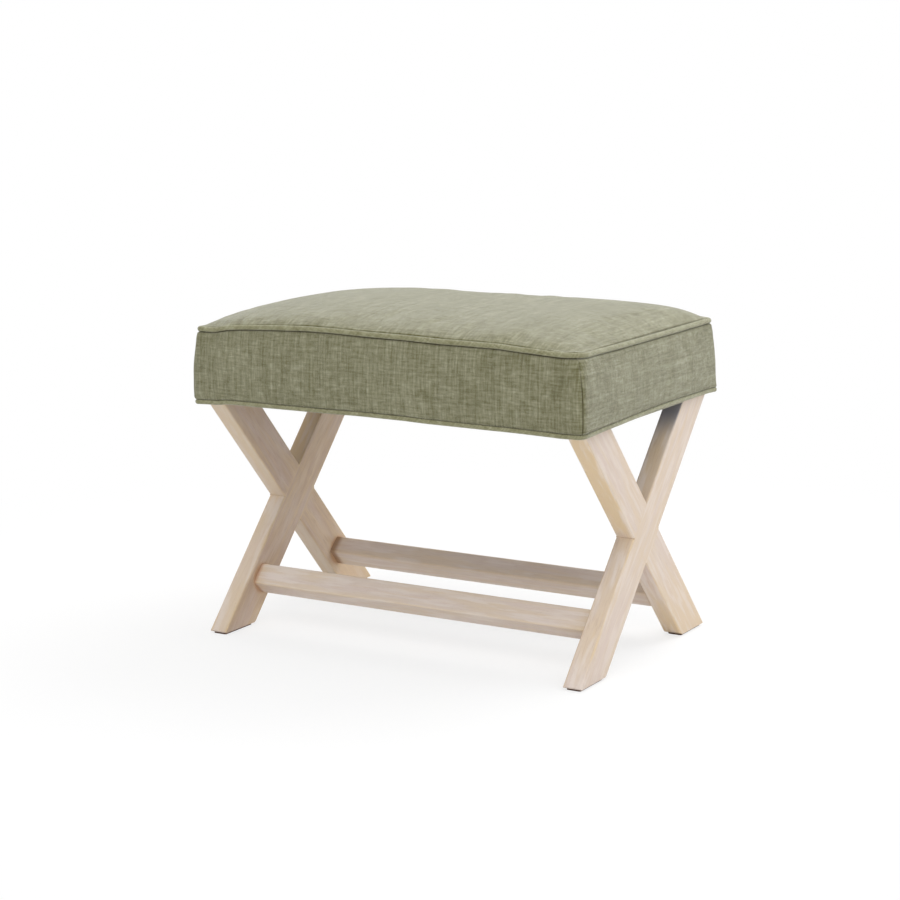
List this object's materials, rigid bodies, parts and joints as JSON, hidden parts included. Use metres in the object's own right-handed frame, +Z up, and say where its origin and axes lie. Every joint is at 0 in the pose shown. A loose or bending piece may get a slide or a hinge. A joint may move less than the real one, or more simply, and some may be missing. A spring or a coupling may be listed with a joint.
{
  "type": "ottoman",
  "caption": "Upholstered ottoman: piped, crowned box cushion on crossed-bar wooden end frames joined by stretchers.",
  "frame": {"origin": "on the floor, at the centre of the ottoman's footprint", "axes": "+X along the ottoman's length, -Y towards its front, +Z up"},
  "size_m": [0.605, 0.41, 0.469],
  "materials": {
    "limed_wood": "matte",
    "base_wood": "matte",
    "plywood": "matte",
    "felt": "matte",
    "brass": "satin",
    "zinc_steel": "satin",
    "foam": "matte",
    "wadding": "matte",
    "linen": "matte",
    "dust_cover": "matte"
  },
  "bodies": {
    "root": {"left_front_leg": "limed_wood", "left_back_leg": "limed_wood", "right_front_leg": "limed_wood", "right_back_leg": "limed_wood", "front_stretcher": "limed_wood", "back_stretcher": "limed_wood", "stretcher_dowels": "base_wood", "left_front_foot_pad": "felt", "left_back_foot_pad": "felt", "right_front_foot_pad": "felt", "right_back_foot_pad": "felt", "leg_inserts": "brass", "leg_bolts": "zinc_steel", "bolt_washers": "zinc_steel", "front_rail": "base_wood", "back_rail": "base_wood", "left_rail": "base_wood", "right_rail": "base_wood", "corner_screws": "zinc_steel", "deck": "plywood", "deck_screws": "zinc_steel", "foam": "foam", "wadding": "wadding", "front_band": "linen", "right_band": "linen", "back_band": "linen", "left_band": "linen", "top_panel": "linen", "top_piping": "linen", "bottom_piping": "linen", "cover_hem": "linen", "dust_cover": "dust_cover"}
  },
  "joints": []
}
